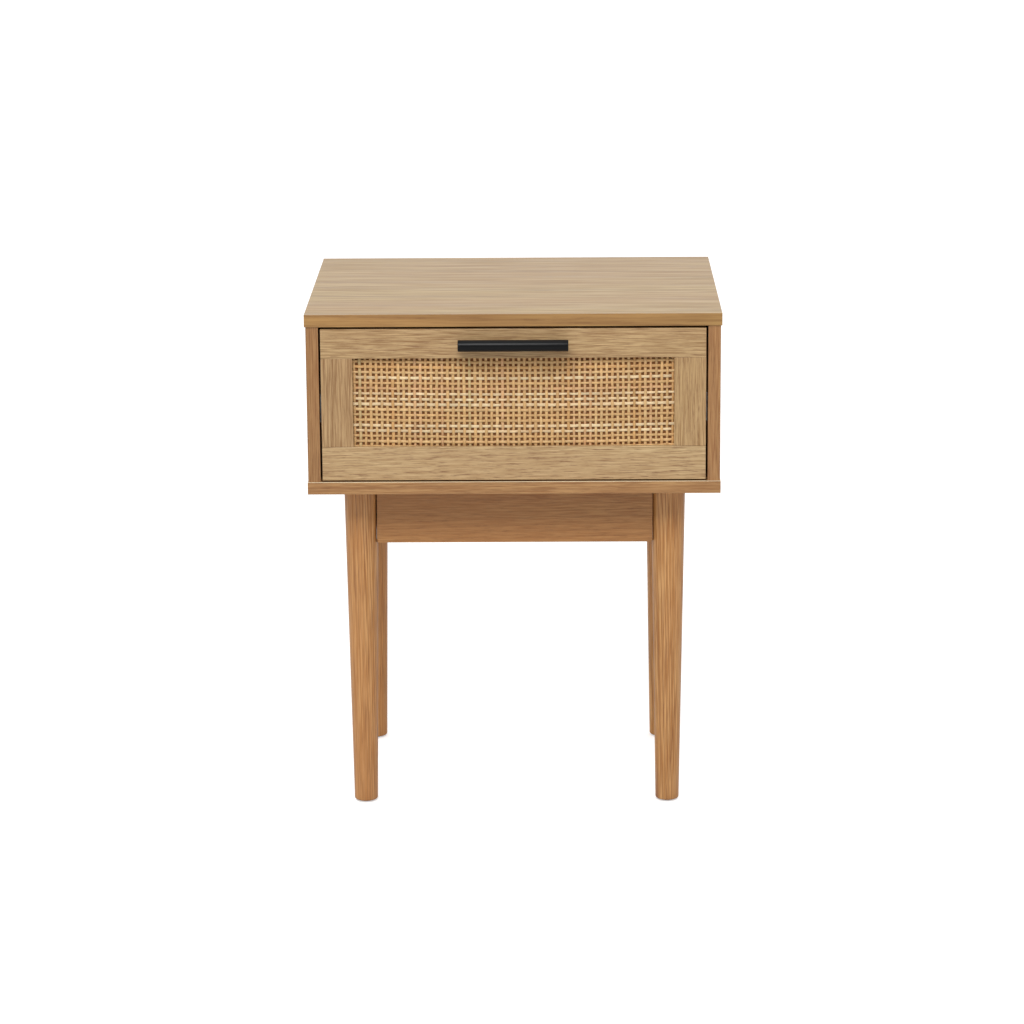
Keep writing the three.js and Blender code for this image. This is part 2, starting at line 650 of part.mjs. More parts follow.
function addSlide(side) {
  const top = SLIDE_HALF_HEIGHT;
  const cabinetSection = mirrored([
    [0, top],
    [CABINET_RAIL_DEPTH, top],
    [CABINET_RAIL_DEPTH, top - CABINET_LIP],
    [CABINET_RAIL_DEPTH - SHEET, top - CABINET_LIP],
    [CABINET_RAIL_DEPTH - SHEET, top - SHEET],
    [SHEET, top - SHEET],
  ]);
  const innerTop = DRAWER_RAIL_HALF_HEIGHT;
  const drawerSection = mirrored([
    [SLIDE_SPACE, innerTop],
    [DRAWER_RAIL_CLEARANCE, innerTop],
    [DRAWER_RAIL_CLEARANCE, innerTop - SHEET],
    [SLIDE_SPACE - SHEET, innerTop - SHEET],
  ]);
  const cabinetRail = slideMember(cabinetSection, side, SLIDE_FRONT_Y, SLIDE_LENGTH);
  const drawerRail = slideMember(drawerSection, side, SLIDE_FRONT_Y, SLIDE_LENGTH);
  addPiece(`${side.name}_cabinet_slide_rail`, cabinetRail, FINISHES.zinc);
  addPiece(`${side.name}_drawer_slide_rail`, drawerRail, FINISHES.zinc);

  const raceHeight = (top - SHEET + innerTop) / 2;
  const cageTop = raceHeight + RETAINER_SHEET / 2;
  const cageSection = mirrored([
    [RETAINER_START, cageTop],
    [RETAINER_END, cageTop],
    [RETAINER_END, cageTop - RETAINER_SHEET],
    [RETAINER_START + RETAINER_SHEET, cageTop - RETAINER_SHEET],
  ]);
  const cageY = SLIDE_FRONT_Y + (SLIDE_LENGTH - RETAINER_LENGTH) / 2;
  const cage = slideMember(cageSection, side, cageY, RETAINER_LENGTH);
  const balls = [];
  for (let i = 0; i < BALLS_PER_RACE; i += 1) {
    for (const sign of [-1, 1]) {
      const ball = new THREE.SphereGeometry(BALL_RADIUS, BALL_SIDES, BALL_SIDES - 2);
      const y = SLIDE_FRONT_Y + SLIDE_LENGTH / 2 + (i - (BALLS_PER_RACE - 1) / 2) * BALL_PITCH;
      ball.translate(side.sign * (SIDE_INNER - BALL_OFFSET), y, SLIDE_Z + sign * raceHeight);
      balls.push(ball);
    }
  }
  addPiece(`${side.name}_ball_retainer`, join(cage, balls), FINISHES.zinc);
}

addTopBoard();
addBottomBoard();
addBackPanel();
for (const side of SIDES) {
  addSidePanel(side);
  addSideApron(side);
  for (const end of ENDS) {
    addLeg(side, end);
    addGlide(side, end);
    addBracketAndBolt(side, end);
    addCamFitting(side, end);
    addCaseScrew(side, end);
  }
}
ENDS.forEach(addFrontOrRearApron);

addDrawerRails();
SIDES.forEach(addDrawerStile);
addWebbingAndBacking();
addHandleBar();
SIDES.forEach(addHandlePostAndScrew);
addDrawerBox();
SIDES.forEach(addSlide);

export default group;
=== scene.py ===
"""Nightstand with one cane-front drawer: the looks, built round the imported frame. Metres."""

import math
import random

import bpy
import numpy as np
from mathutils import Matrix, Vector


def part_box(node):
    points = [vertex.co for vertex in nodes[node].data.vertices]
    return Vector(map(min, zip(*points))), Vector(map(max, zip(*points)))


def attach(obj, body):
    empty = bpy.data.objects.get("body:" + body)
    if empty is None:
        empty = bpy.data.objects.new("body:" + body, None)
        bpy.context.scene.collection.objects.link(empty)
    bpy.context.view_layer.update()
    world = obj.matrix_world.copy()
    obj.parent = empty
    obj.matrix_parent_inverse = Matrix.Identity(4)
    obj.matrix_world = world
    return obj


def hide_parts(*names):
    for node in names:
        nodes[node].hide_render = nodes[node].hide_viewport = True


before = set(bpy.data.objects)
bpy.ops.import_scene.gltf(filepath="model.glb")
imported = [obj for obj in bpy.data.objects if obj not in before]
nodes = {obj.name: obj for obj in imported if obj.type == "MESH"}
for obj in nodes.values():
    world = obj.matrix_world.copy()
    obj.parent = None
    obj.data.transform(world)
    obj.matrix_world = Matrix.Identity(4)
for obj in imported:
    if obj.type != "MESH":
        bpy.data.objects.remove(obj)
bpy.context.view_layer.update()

MM = 0.001
ENDS = ("front", "rear")
SIDES = ("left", "right")
CORNERS = [(end, side) for end in ENDS for side in SIDES]

# ------------------------------------------------------------------ camera

CAMERA_PLACE = (0.0457, -4.4341, 1.4212)
CAMERA_PITCH = 0.2394  # downwards
CAMERA_YAW = 0.0114
CAMERA_ROLL = -0.0068
CAMERA_LENS = 127.07
SENSOR_WIDTH = 36.0


def make_camera():
    data = bpy.data.cameras.new("camera")
    data.sensor_width = SENSOR_WIDTH
    data.lens = CAMERA_LENS
    data.clip_start = 0.1
    data.clip_end = 200.0
    camera = bpy.data.objects.new("camera", data)
    bpy.context.scene.collection.objects.link(camera)
    cos_yaw, sin_yaw = math.cos(CAMERA_YAW), math.sin(CAMERA_YAW)
    cos_pitch, sin_pitch = math.cos(CAMERA_PITCH), math.sin(CAMERA_PITCH)
    forward = Vector((-sin_yaw * cos_pitch, cos_yaw * cos_pitch, -sin_pitch))
    right = Vector((cos_yaw, sin_yaw, 0.0))
    up = right.cross(forward)
    cos_roll, sin_roll = math.cos(CAMERA_ROLL), math.sin(CAMERA_ROLL)
    tilted_right = right * cos_roll + up * sin_roll
    tilted_up = up * cos_roll - right * sin_roll
    turn = Matrix((tilted_right, tilted_up, -forward)).transposed()
    camera.matrix_world = Matrix.Translation(CAMERA_PLACE) @ turn.to_4x4()
    bpy.context.scene.camera = camera


make_camera()

# ------------------------------------------------------------------ node trees

SOCKETS = {"metallic": "Metallic", "specular_ior_level": "Specular IOR Level"}


class Shader:
    """A material's node tree, with short calls for the nodes that the finishes share."""

    def __init__(self, name):
        self.material = bpy.data.materials.new(name)
        self.material.use_nodes = True
        self.tree = self.material.node_tree
        self.tree.nodes.clear()

    def add(self, kind, inputs=None, **settings):
        node = self.tree.nodes.new(kind)
        for key, value in settings.items():
            setattr(node, key, value)
        for key, value in (inputs or {}).items():
            self.feed(node.inputs[key], value)
        return node

    def feed(self, socket, value):
        if isinstance(value, bpy.types.NodeSocket):
            self.tree.links.new(value, socket)
        else:
            socket.default_value = value

    def math(self, operation, a, b=0.0, c=0.0, clamp=False):
        node = self.add("ShaderNodeMath", {0: a, 1: b, 2: c}, operation=operation, use_clamp=clamp)
        return node.outputs[0]

    def vector(self, operation, a, b=(0.0, 0.0, 0.0)):
        node = self.add("ShaderNodeVectorMath", {0: a, 1: b}, operation=operation)
        return node.outputs["Value" if operation == "LENGTH" else "Vector"]

    def split(self, vector):
        return self.add("ShaderNodeSeparateXYZ", {0: vector}).outputs

    def combine(self, x, y, z):
        return self.add("ShaderNodeCombineXYZ", {0: x, 1: y, 2: z}).outputs[0]

    def noise(self, vector, detail=2.0, roughness=0.5):
        inputs = {"Vector": vector, "Scale": 1.0, "Detail": detail, "Roughness": roughness}
        return self.add("ShaderNodeTexNoise", inputs).outputs["Fac"]

    def span(self, value, low, high, to_low=0.0, to_high=1.0, smooth=False):
        inputs = {0: value, 1: low, 2: high, 3: to_low, 4: to_high}
        node = self.add("ShaderNodeMapRange", inputs)
        node.interpolation_type = "SMOOTHSTEP" if smooth else "LINEAR"
        return node.outputs[0]

    def mix(self, factor, a, b, blend="MIX"):
        node = self.add("ShaderNodeMix", data_type="RGBA", blend_type=blend)
        self.feed(node.inputs[0], factor)
        self.feed(node.inputs[6], a)
        self.feed(node.inputs[7], b)
        return node.outputs[2]

    def ramp(self, value, stops):
        node = self.add("ShaderNodeValToRGB", {0: value})
        elements = node.color_ramp.elements
        for position, _ in stops[1:-1]:
            elements.new(position)
        for element, (position, level) in zip(elements, stops):
            element.position = position
            element.color = (level, level, level, 1.0)
        return node.outputs[0]

    def finish(self, colour, roughness, height=None, bump=0.0, depth=MM, **sockets):
        shader = self.add("ShaderNodeBsdfPrincipled")
        self.feed(shader.inputs["Base Color"], colour)
        self.feed(shader.inputs["Roughness"], roughness)
        for key, value in sockets.items():
            self.feed(shader.inputs[SOCKETS[key]], value)
        if height is not None:
            inputs = {"Height": height, "Strength": bump, "Distance": depth}
            self.feed(shader.inputs["Normal"], self.add("ShaderNodeBump", inputs).outputs[0])
        output = self.add("ShaderNodeOutputMaterial")
        self.tree.links.new(shader.outputs[0], output.inputs[0])
        return self.material


def rgb(red, green, blue):
    """A colour given as 0 to 255 on the screen, as the linear value that a shader takes."""
    levels = [value / 255 for value in (red, green, blue)]
    linear = [v / 12.92 if v <= 0.04045 else ((v + 0.055) / 1.055) ** 2.4 for v in levels]
    return (*linear, 1.0)


# ------------------------------------------------------------------ wood

# Scales of the noise in the oak, per metre: along the grain and across it.
WANDER = (1.7, 9.0)  # the rings drift along a board
RIPPLE = (9.0, 60.0)  # small waves in the rings
FADING = (2.5, 40.0)  # where the rings are faint
BANDS = (1.3, 14.0)  # broad streaks of the second tone
RING_LEAN = 0.03  # the slope of the rings against the board
RING_PROFILE = [(0.0, 1.0), (0.14, 0.85), (0.45, 0.25), (0.85, 0.0), (1.0, 0.9)]
BAND_STRENGTH = 0.6
SIDE_FACING = 0.8  # a normal with more of x than this is on a banded edge
LEVEL_FACING = 0.7  # a normal with more of z than this is on the top or the underside
OAK_DEPTH = 0.3 * MM
# The parts of the noise that each mark is made from.
FIBRE_WINDOW = (0.38, 0.62)
DASH_WINDOW = (0.52, 0.66)
BAND_WINDOW = (0.35, 0.68)
FADE_WINDOW = (0.35, 0.65)
COLOURS = ("pale", "mid", "dark", "blush", "pore")

# In each look, "dash" and "fibre" are scales like those above, "rings" and "pores" are the
# strengths of those marks, and "roughness" is that of a pale fibre and of a dark one.
LAMINATE = {
    "pale": rgb(194, 147, 95),
    "mid": rgb(160, 111, 66),
    "dark": rgb(128, 82, 46),
    "blush": rgb(177, 124, 75),
    "pore": rgb(108, 68, 39),
    "ring_gap": 8 * MM,
    "rings": 0.30,
    "pores": 0.40,
    "dash": (60.0, 560.0),
    "fibre": (24.0, 600.0),
    "roughness": (0.34, 0.46),
    "bump": 0.12,
}
TOP_LAMINATE = {
    **LAMINATE,
    "pale": rgb(193, 152, 91),
    "mid": rgb(156, 116, 64),
    "dark": rgb(130, 90, 49),
    "blush": rgb(172, 124, 73),
    "ring_gap": 22 * MM,
    "rings": 0.45,
    "pores": 0.35,
    "dash": (30.0, 340.0),
    "fibre": (7.0, 260.0),
    # the level faces are less red and darker than the edges: partly their own colour, partly
    # painted shade
    "face_tint_and_shade": rgb(236, 245, 220),
}
FACING = {
    "pale": rgb(222, 190, 140),
    "mid": rgb(168, 132, 87),
    "dark": rgb(148, 106, 69),
    "blush": rgb(192, 152, 107),
    "pore": rgb(126, 84, 54),
    "ring_gap": 5 * MM,
    "rings": 0.26,
    "pores": 0.60,
    "dash": (60.0, 820.0),
    "fibre": (26.0, 860.0),
    "roughness": (0.42, 0.58),
    "bump": 0.25,
}
TIMBER = {
    "pale": rgb(225, 174, 114),
    "mid": rgb(184, 127, 68),
    "dark": rgb(146, 90, 48),
    "blush": rgb(200, 138, 84),
    "pore": rgb(124, 73, 40),
    "ring_gap": 3.4 * MM,
    "rings": 0.60,
    "pores": 0.60,
    "dash": (16.0, 560.0),
    "fibre": (15.0, 540.0),
    "roughness": (0.30, 0.42),
    "bump": 0.25,
}
BOX_BOARD = {
    "pale": rgb(216, 192, 154),
    "mid": rgb(200, 174, 134),
    "dark": rgb(180, 150, 110),
    "blush": rgb(206, 176, 140),
    "pore": rgb(160, 128, 92),
    "ring_gap": 12 * MM,
    "rings": 0.25,
    "pores": 0.2,
    "dash": (34.0, 520.0),
    "fibre": (12.0, 300.0),
    "roughness": (0.5, 0.62),
    "bump": 0.1,
}


def toned(look, red, green, blue):
    """The same look with every colour scaled."""
    scale = (red, green, blue, 1.0)
    return {**look, **{key: tuple(a * b for a, b in zip(look[key], scale)) for key in COLOURS}}


def wood(name, look, grain, seed, pith=(0.30, 0.12), warp=0.006, banded=False):
    """Oak with its grain along axis 0, 1 or 2. The growth rings are true cylinders about a pith
    that lies beside the board, so every face of a piece shows the grain that it should."""
    s = Shader(name)
    source = s.add("ShaderNodeTexCoord")
    parts = list(s.split(source.outputs["Object"]))
    if banded:
        # the left and right edges carry a strip of banding whose grain runs along them
        facing = s.math("ABSOLUTE", s.split(source.outputs["Normal"])[0])
        edge = s.math("GREATER_THAN", facing, SIDE_FACING)
        first = s.add("ShaderNodeMix", {0: edge, 2: parts[0], 3: parts[1]}).outputs[0]
        second = s.add("ShaderNodeMix", {0: edge, 2: parts[1], 3: parts[0]}).outputs[0]
        parts = [first, second, parts[2]]
    others = [parts[axis] for axis in range(3) if axis != grain]
    draw = random.Random(seed)
    shift = tuple(draw.uniform(-3.0, 3.0) for _ in range(3))
    place = s.vector("ADD", s.combine(parts[grain], others[0], others[1]), shift)

    def streaks(along, across, detail=2.0, roughness=0.5):
        return s.noise(s.vector("MULTIPLY", place, (along, across, across)), detail, roughness)

    wander = s.math("MULTIPLY_ADD", streaks(*WANDER, 1.0), 2 * warp, -warp)
    ripple = s.math("MULTIPLY_ADD", streaks(*RIPPLE, 1.0), 0.25 * warp, -0.125 * warp)
    lean = s.math("MULTIPLY", parts[grain], RING_LEAN * draw.choice((-1, 1)))
    radius = s.vector(
        "LENGTH",
        s.combine(s.math("ADD", others[0], pith[0]), s.math("ADD", others[1], pith[1]), 0.0),
    )
    radius = s.math("ADD", s.math("ADD", radius, lean), s.math("ADD", wander, ripple))
    phase = s.math("FRACT", s.math("DIVIDE", radius, look["ring_gap"]))
    lines = s.ramp(phase, RING_PROFILE)
    uneven = s.span(streaks(*FADING, 1.0), *FADE_WINDOW)
    lines = s.math("MULTIPLY", lines, s.math("MULTIPLY_ADD", uneven, 0.8, 0.2))

    fibres = s.span(streaks(*look["fibre"], 3.0, 0.55), *FIBRE_WINDOW)
    broad = s.span(streaks(*BANDS, 2.0), *BAND_WINDOW, smooth=True)
    dashes = s.span(streaks(*look["dash"], 3.0, 0.6), *DASH_WINDOW)
    dashes = s.math("MULTIPLY", dashes, s.math("MULTIPLY_ADD", lines, 0.7, 0.45), clamp=True)

    colour = s.mix(fibres, look["pale"], look["mid"])
    colour = s.mix(s.math("MULTIPLY", broad, BAND_STRENGTH), colour, look["blush"])
    colour = s.mix(s.math("MULTIPLY", lines, look["rings"]), colour, look["dark"])
    colour = s.mix(s.math("MULTIPLY", dashes, look["pores"]), colour, look["pore"])
    upward = s.split(source.outputs["Normal"])[2]
    if "face_tint_and_shade" in look:
        # the level faces are a little less red than the banding on the edges, and darker as painted
        # shade
        level = s.math("GREATER_THAN", s.math("ABSOLUTE", upward), LEVEL_FACING)
        colour = s.mix(level, colour, look["face_tint_and_shade"], "MULTIPLY")
    if "painted_highlight" in look:
        # a painted highlight: a pale line along the top of the front edge, where light from above
        # catches it
        rim = s.math("MULTIPLY", s.span(upward, 0.3, 0.6), s.span(parts[1], *look["painted_highlight_reach"]))
        colour = s.mix(rim, colour, look["painted_highlight"])
    roughness = s.span(fibres, 0.0, 1.0, *look["roughness"])
    height = s.math("SUBTRACT", s.math("MULTIPLY", fibres, 0.3), dashes)
    return s.finish(colour, roughness, height, look["bump"], OAK_DEPTH)


# ------------------------------------------------------------------ other finishes

# Scales of noise, per metre.
CANE_FIBRE_ALONG, CANE_FIBRE_ACROSS = 60.0, 1500.0
CANE_CLOUD_ALONG, CANE_CLOUD_ACROSS = 22.0, 40.0
ZINC_LINE_ALONG, ZINC_LINE_ACROSS = 25.0, 2600.0
ZINC_CLOUD = 90.0
FINE_TO_COARSE = 8  # in a mottled finish
PAPER_SPECKS = 700.0
PAPER_STREAKS = (9.0, 220.0, 220.0)

CANE_FIBRE_SHADE = rgb(222, 180, 128)
CANE_CLOUD_SHADE = rgb(214, 156, 100)
ZINC_CLOUD_SHADE = rgb(190, 190, 188)


def across_and_along(across, along, grain):
    """The noise scales on x, y and z of streaks that run along axis 0, 1 or 2."""
    scales = [across, across, across]
    scales[grain] = along
    return scales


def cane(name, grain):
    """Split cane: each strand keeps its own colour, with fine fibres along it and dark nodes."""
    s = Shader(name)
    tint = s.add("ShaderNodeAttribute", attribute_name="strand_tint").outputs["Color"]
    place = s.add("ShaderNodeTexCoord").outputs["Object"]
    fine = across_and_along(CANE_FIBRE_ACROSS, CANE_FIBRE_ALONG, grain)
    slow = across_and_along(CANE_CLOUD_ACROSS, CANE_CLOUD_ALONG, grain)
    fibres = s.span(s.noise(s.vector("MULTIPLY", place, fine), 3.0, 0.6), 0.3, 0.7)
    cloud = s.span(s.noise(s.vector("MULTIPLY", place, slow), 2.0), 0.35, 0.7)
    colour = s.mix(s.math("MULTIPLY", fibres, 0.4), tint, CANE_FIBRE_SHADE, "MULTIPLY")
    colour = s.mix(s.math("MULTIPLY", cloud, 0.35), colour, CANE_CLOUD_SHADE)
    roughness = s.span(fibres, 0.0, 1.0, 0.38, 0.6)
    return s.finish(colour, roughness, fibres, 0.3, 0.15 * MM)


def mottled(name, first, second, scale, roughness, bump, **sockets):
    """A fine-grained board, paint or plastic whose colour and gloss vary a little."""
    s = Shader(name)
    place = s.add("ShaderNodeTexCoord").outputs["Object"]
    coarse = s.noise(s.vector("MULTIPLY", place, (scale,) * 3), 4.0, 0.6)
    fine = s.noise(s.vector("MULTIPLY", place, (FINE_TO_COARSE * scale,) * 3), 2.0)
    blend = s.span(coarse, 0.3, 0.7)
    gloss = s.span(fine, 0.3, 0.7, *roughness)
    return s.finish(s.mix(blend, first, second), gloss, fine, bump, 0.1 * MM, **sockets)


def drawn_metal(name, base, roughness, grain, bump=0.08):
    """Zinc-plated sheet: fine drawing lines along one axis over a cloudy plating."""
    s = Shader(name)
    place = s.add("ShaderNodeTexCoord").outputs["Object"]
    fine = across_and_along(ZINC_LINE_ACROSS, ZINC_LINE_ALONG, grain)
    lines = s.noise(s.vector("MULTIPLY", place, fine), 3.0, 0.6)
    cloud = s.noise(s.vector("MULTIPLY", place, (ZINC_CLOUD,) * 3), 3.0)
    colour = s.mix(s.span(cloud, 0.3, 0.75), base, ZINC_CLOUD_SHADE)
    gloss = s.span(lines, 0.3, 0.7, *roughness)
    return s.finish(colour, gloss, lines, bump, 0.05 * MM, metallic=1.0)


def hardboard(name):
    """Thin brown board faced with matt oak-look paper."""
    s = Shader(name)
    place = s.add("ShaderNodeTexCoord").outputs["Object"]
    specks = s.span(s.noise(s.vector("MULTIPLY", place, (PAPER_SPECKS,) * 3), 3.0), 0.35, 0.7)
    streaks = s.span(s.noise(s.vector("MULTIPLY", place, PAPER_STREAKS), 3.0), 0.35, 0.7)
    colour = s.mix(streaks, rgb(186, 150, 108), rgb(172, 134, 92))
    colour = s.mix(s.math("MULTIPLY", specks, 0.3), colour, rgb(146, 108, 72))
    return s.finish(colour, s.span(specks, 0.0, 1.0, 0.6, 0.75), specks, 0.15, 0.1 * MM)


# ------------------------------------------------------------------ pieces

# How far each kind of edge is rounded.
BOARD_EDGE = 1.6 * MM
FRAME_EDGE = 0.7 * MM
BOX_EDGE = 0.4 * MM
SHEET_EDGE = 0.3 * MM
FINE_EDGE = 0.2 * MM
CAGE_EDGE = 0.1 * MM
WELD_REACH = 0.01 * MM


def add_piece(name, mesh, body, material):
    piece = bpy.data.objects.new(name, mesh)
    bpy.context.scene.collection.objects.link(piece)
    mesh.materials.append(material)
    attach(piece, body)
    return piece


def mesh_from(name, vertices, faces, smooth=True):
    mesh = bpy.data.meshes.new(name)
    mesh.from_pydata([tuple(v) for v in vertices], [], faces)
    mesh.polygons.foreach_set("use_smooth", [smooth] * len(mesh.polygons))
    mesh.update()
    return mesh


def soften(obj, width, segments=2, angle=35.0):
    """Rounds the hard edges and keeps the flat faces flat, without touching the mesh itself."""
    if obj.data.has_custom_normals:
        obj.data.attributes.remove(obj.data.attributes["custom_normal"])
    obj.data.polygons.foreach_set("use_smooth", [True] * len(obj.data.polygons))
    weld = obj.modifiers.new("weld", "WELD")
    weld.merge_threshold = WELD_REACH
    bevel = obj.modifiers.new("bevel", "BEVEL")
    bevel.width = width
    bevel.segments = segments
    bevel.limit_method = "ANGLE"
    bevel.angle_limit = math.radians(angle)
    bevel.use_clamp_overlap = True
    normals = obj.modifiers.new("normals", "WEIGHTED_NORMAL")
    normals.keep_sharp = True


def dress(name, material, width, segments=2, angle=35.0):
    node = nodes[name]
    node.data.materials.clear()
    node.data.materials.append(material)
    soften(node, width, segments, angle)


# a painted highlight along the top of the bottom board's front edge: its colour, how far back it
# holds, and where it has faded out
PAINTED_HIGHLIGHT_TINT = rgb(244, 230, 196)
PAINTED_HIGHLIGHT_DEPTH = 2 * MM
PAINTED_HIGHLIGHT_FADE = 3 * MM


def dress_case():
    # each board's label, grain axis, seed, pith, warp, and whether its ends are banded
    boards = {
        "top_board": ("laminate_top", 0, 11, (0.42, 0.16), 0.007, True),
        "bottom_board": ("laminate_bottom", 0, 12, (0.40, 0.15), 0.006, True),
        "left_side_panel": ("laminate_left", 2, 13, (0.30, 0.35), 0.006, False),
        "right_side_panel": ("laminate_right", 2, 14, (-0.32, 0.33), 0.006, False),
        "front_apron": ("laminate_front_apron", 0, 15, (0.30, 0.20), 0.006, False),
        "rear_apron": ("laminate_rear_apron", 0, 16, (0.30, 0.22), 0.006, False),
        "left_apron": ("laminate_left_apron", 1, 17, (0.22, 0.25), 0.006, False),
        "right_apron": ("laminate_right_apron", 1, 18, (0.24, 0.28), 0.006, False),
    }
    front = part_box("bottom_board")[0].y
    # the bottom board carries the painted highlight along its front edge
    painted_highlight = {"painted_highlight": PAINTED_HIGHLIGHT_TINT, "painted_highlight_reach": (front + PAINTED_HIGHLIGHT_FADE, front + PAINTED_HIGHLIGHT_DEPTH)}
    looks = {
        "top_board": TOP_LAMINATE,
        "bottom_board": {**toned(LAMINATE, 0.96, 0.98, 0.98), **painted_highlight},
        # the side panels are darkened as painted shade, the left one more than the right
        "left_side_panel": toned(LAMINATE, 0.83, 0.83, 0.83),
        "right_side_panel": toned(LAMINATE, 0.93, 0.93, 0.94),
        # the front apron is made redder as painted shade under the bottom board
        "front_apron": toned(LAMINATE, 1.02, 0.97, 0.86),
    }
    for name, (label, grain, seed, pith, warp, banded) in boards.items():
        look = looks.get(name, LAMINATE)
        dress(name, wood(label, look, grain, seed, pith, warp, banded), BOARD_EDGE, 4)
    dress("back_panel", hardboard("back_board"), SHEET_EDGE)


def dress_drawer():
    # each piece's label, grain axis, seed, pith, tone and painted light, and the strength of its
    # pores; over each piece's own tone, the top rail and the left stile are darkened as painted
    # shade and the bottom rail is lightened as painted light
    frame_pieces = {
        "drawer_top_rail": ("top_rail", 0, 21, (0.12, -0.46), (0.87, 0.85, 0.83), 0.62),
        "drawer_bottom_rail": ("bottom_rail", 0, 22, (0.10, -0.55), (1.01, 1.06, 1.10), 0.85),
        "drawer_left_stile": ("left_stile", 2, 23, (0.35, 0.20), (0.79, 0.73, 0.69), 0.34),
        "drawer_right_stile": ("right_stile", 2, 24, (-0.31, 0.22), (0.90, 0.88, 0.83), 0.70),
    }
    for name, (label, grain, seed, pith, tone_and_light, pores) in frame_pieces.items():
        look = {**toned(FACING, *tone_and_light), "pores": pores}
        dress(name, wood("facing_" + label, look, grain, seed, pith, 0.007), FRAME_EDGE)
    walls = {
        "drawer_box_front": ("box_front", 0, 31),
        "drawer_box_back": ("box_back", 0, 32),
        "drawer_box_left": ("box_left", 1, 33),
        "drawer_box_right": ("box_right", 1, 34),
        "drawer_box_bottom": ("box_bottom", 0, 35),
    }
    for name, (label, grain, seed) in walls.items():
        dress(name, wood(label, BOX_BOARD, grain, seed, (0.4, 0.3)), BOX_EDGE)
    brown, dark_brown = rgb(152, 100, 56), rgb(128, 82, 44)
    backing = mottled("dark_backing", brown, dark_brown, 220.0, (0.8, 0.95), 0.1)
    dress("webbing_backing_panel", backing, FINE_EDGE)


# ------------------------------------------------------------------ legs

LEG_TURN = 96  # points round a leg
LEG_FLAT_REACH = {"left": 17.9 * MM, "right": 18.8 * MM}  # the left joints stand a little open
LEG_TOP_RADIUS = 21 * MM
LEG_BOTTOM_RADIUS = 14.5 * MM
LEG_RIM = 2.5 * MM
RIM_STEPS = 8
TAPER_RINGS = 40
FLAT_RINGS = 8
# the rear legs are lightened as painted light; the front legs keep the timber's own tone
LEG_TONES_AND_LIGHT = {"front": (1.0, 0.98, 0.94), "rear": (1.12, 1.1, 1.0)}


def add_leg(end, side, seed):
    """A round tapered leg with a soft bottom rim. Above the aprons' lower edge it has two flats."""
    name = f"{end}_{side}_leg"
    low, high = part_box(name)
    glide_low, glide_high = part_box(f"{end}_{side}_glide")
    centre = (glide_low + glide_high) / 2
    apron_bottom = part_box(f"{end}_apron")[0].z
    inward_x = 1.0 if side == "left" else -1.0
    inward_y = 1.0 if end == "front" else -1.0
    flat = LEG_FLAT_REACH[side]

    def radius_at(z):
        share = (z - low.z - LEG_RIM) / (high.z - low.z - LEG_RIM)
        return LEG_BOTTOM_RADIUS + (LEG_TOP_RADIUS - LEG_BOTTOM_RADIUS) * max(share, 0.0)

    rings = []
    for step in range(RIM_STEPS + 1):
        angle = math.pi / 2 * step / RIM_STEPS
        radius = LEG_BOTTOM_RADIUS - LEG_RIM * (1 - math.sin(angle))
        rings.append((low.z + LEG_RIM * (1 - math.cos(angle)), radius, False))
    for z in np.linspace(low.z + LEG_RIM, apron_bottom, TAPER_RINGS)[1:]:
        rings.append((z, radius_at(z), False))
    for z in np.linspace(apron_bottom, high.z, FLAT_RINGS):
        rings.append((z, radius_at(z), True))

    angles = np.arange(LEG_TURN) * 2 * math.pi / LEG_TURN
    vertices, faces = [], []
    for z, radius, flats in rings:
        for angle in angles:
            x, y = radius * math.cos(angle), radius * math.sin(angle)
            if flats:
                x = inward_x * min(inward_x * x, flat)
                y = inward_y * min(inward_y * y, flat)
            vertices.append((centre.x + x, centre.y + y, z))
    for ring in range(len(rings) - 1):
        for i in range(LEG_TURN):
            j = (i + 1) % LEG_TURN
            first, second = ring * LEG_TURN, (ring + 1) * LEG_TURN
            faces.append((first + i, first + j, second + j, second + i))
    last = (len(rings) - 1) * LEG_TURN
    faces.append(tuple(reversed(range(LEG_TURN))))
    faces.append(tuple(range(last, last + LEG_TURN)))
    mesh = mesh_from(name + "_turned", vertices, faces)
    mesh.set_sharp_from_angle(angle=math.radians(40))
    pith = (0.05 - centre.x + 0.02 * seed, 0.04 - centre.y)
    look = toned(TIMBER, *LEG_TONES_AND_LIGHT[end])
    skin = wood(f"timber_{end}_{side}", look, 2, 40 + seed, pith)
    leg = add_piece(name + "_turned", mesh, "cabinet", skin)
    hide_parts(name)


# ------------------------------------------------------------------ cane webbing

WARP_COUNT = 61
WEFT_COUNT = 18
PITCH_X = 6.60 * MM
PITCH_Z = 6.52 * MM
WEFT_SAG = 2.6 * MM  # how far the level strands dip in the middle
STRAND_HALF_WIDTH = 1.66 * MM
STRAND_HALF_THICKNESS = 0.42 * MM
WEAVE_SWING = 0.52 * MM
STRAND_MARGIN = 0.6 * MM  # from a strand's end to the edge of the webbing
STRAND_DRIFT = 0.16 * MM
STRAND_TILT = 0.12
RINGS_PER_CROSSING = 5
STRAND_SIDES = 8
CANE_TINTS = [
    (rgb(232, 206, 156), 1),
    (rgb(220, 184, 128), 6),
    (rgb(226, 193, 139), 5),
    (rgb(207, 187, 136), 1),
    (rgb(220, 180, 133), 2),
    (rgb(213, 170, 111), 2),
]
PALE_WEFTS = (4, 7, 8, 9, 13, 14)  # the palest rows, from the top
PALE_TINT = rgb(242, 222, 180)
SLOW_STEP = 5  # crossings between the places where a strand's colour drifts


def strand_section():
    """A lens-shaped outline, flat below and crowned above, as (width, thickness) shares."""
    section = []
    for k in range(STRAND_SIDES):
        angle = 2 * math.pi * k / STRAND_SIDES
        width = math.cos(angle)
        thickness = math.sin(angle)
        section.append((math.copysign(abs(width) ** 0.8, width), thickness))
    return section


